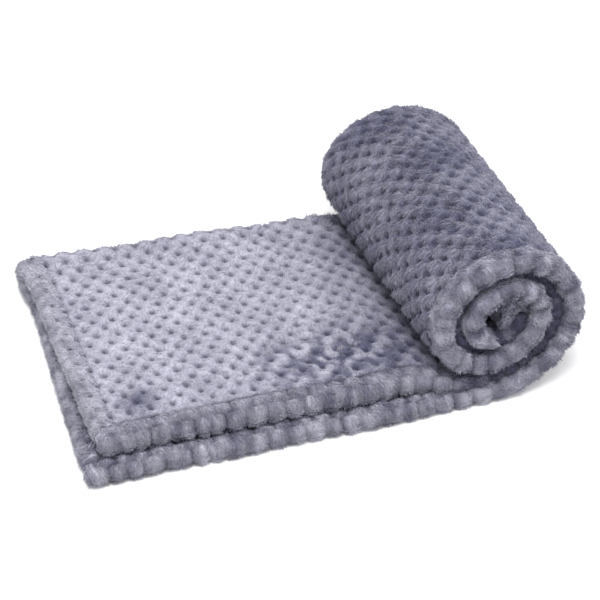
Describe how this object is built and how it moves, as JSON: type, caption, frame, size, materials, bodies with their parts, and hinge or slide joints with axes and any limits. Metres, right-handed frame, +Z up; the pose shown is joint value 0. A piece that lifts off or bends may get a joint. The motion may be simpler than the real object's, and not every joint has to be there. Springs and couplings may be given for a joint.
{
  "type": "folded throw blanket",
  "caption": "Plush throw folded in half lengthwise, with one end rolled up on top of its flat part and a free end that can be lifted.",
  "frame": {"origin": "middle of the footprint, on the surface the throw lies on", "axes": "+X along the flat part towards the roll, +Y along the roll towards the back fold, +Z up"},
  "size_m": [0.4569, 0.3, 0.1521],
  "materials": {
    "plush_panel": "tufted plush fleece",
    "plush_hem": "turned and stitched plush hem",
    "sewing_thread": "spun polyester thread"
  },
  "bodies": {
    "roll": {"lower_leaf_roll_foot": "plush_panel", "lower_side_hem_roll_foot": "plush_hem", "upper_leaf_roll_foot": "plush_panel", "upper_side_hem_roll_foot": "plush_hem", "back_fold_roll_foot": "plush_panel", "lower_leaf_roll": "plush_panel", "lower_side_hem_roll": "plush_hem", "lower_side_seam_thread_roll": "sewing_thread", "lower_inner_end_seam_thread": "sewing_thread", "lower_inner_end_hem": "plush_hem", "upper_leaf_roll": "plush_panel", "upper_side_hem_roll": "plush_hem", "upper_side_seam_thread_roll": "sewing_thread", "upper_inner_end_seam_thread": "sewing_thread", "upper_inner_end_hem": "plush_hem", "back_fold_roll": "plush_panel", "back_fold_inner_end_hem": "plush_hem"},
    "free_end": {"lower_leaf_free_end": "plush_panel", "lower_side_hem_free_end": "plush_hem", "lower_end_hem": "plush_hem", "lower_side_seam_thread_free_end": "sewing_thread", "lower_end_seam_thread": "sewing_thread", "upper_leaf_free_end": "plush_panel", "upper_side_hem_free_end": "plush_hem", "upper_end_hem": "plush_hem", "upper_side_seam_thread_free_end": "sewing_thread", "upper_end_seam_thread": "sewing_thread", "back_fold_free_end": "plush_panel", "back_fold_end_hem": "plush_hem"}
  },
  "joints": [
    {"name": "free_end_lift", "type": "hinge", "parent": "roll", "child": "free_end", "pos_m": [0.05663, 0, 0.041], "axis": [0, 1, 0], "range_deg": [0, 90]}
  ]
}
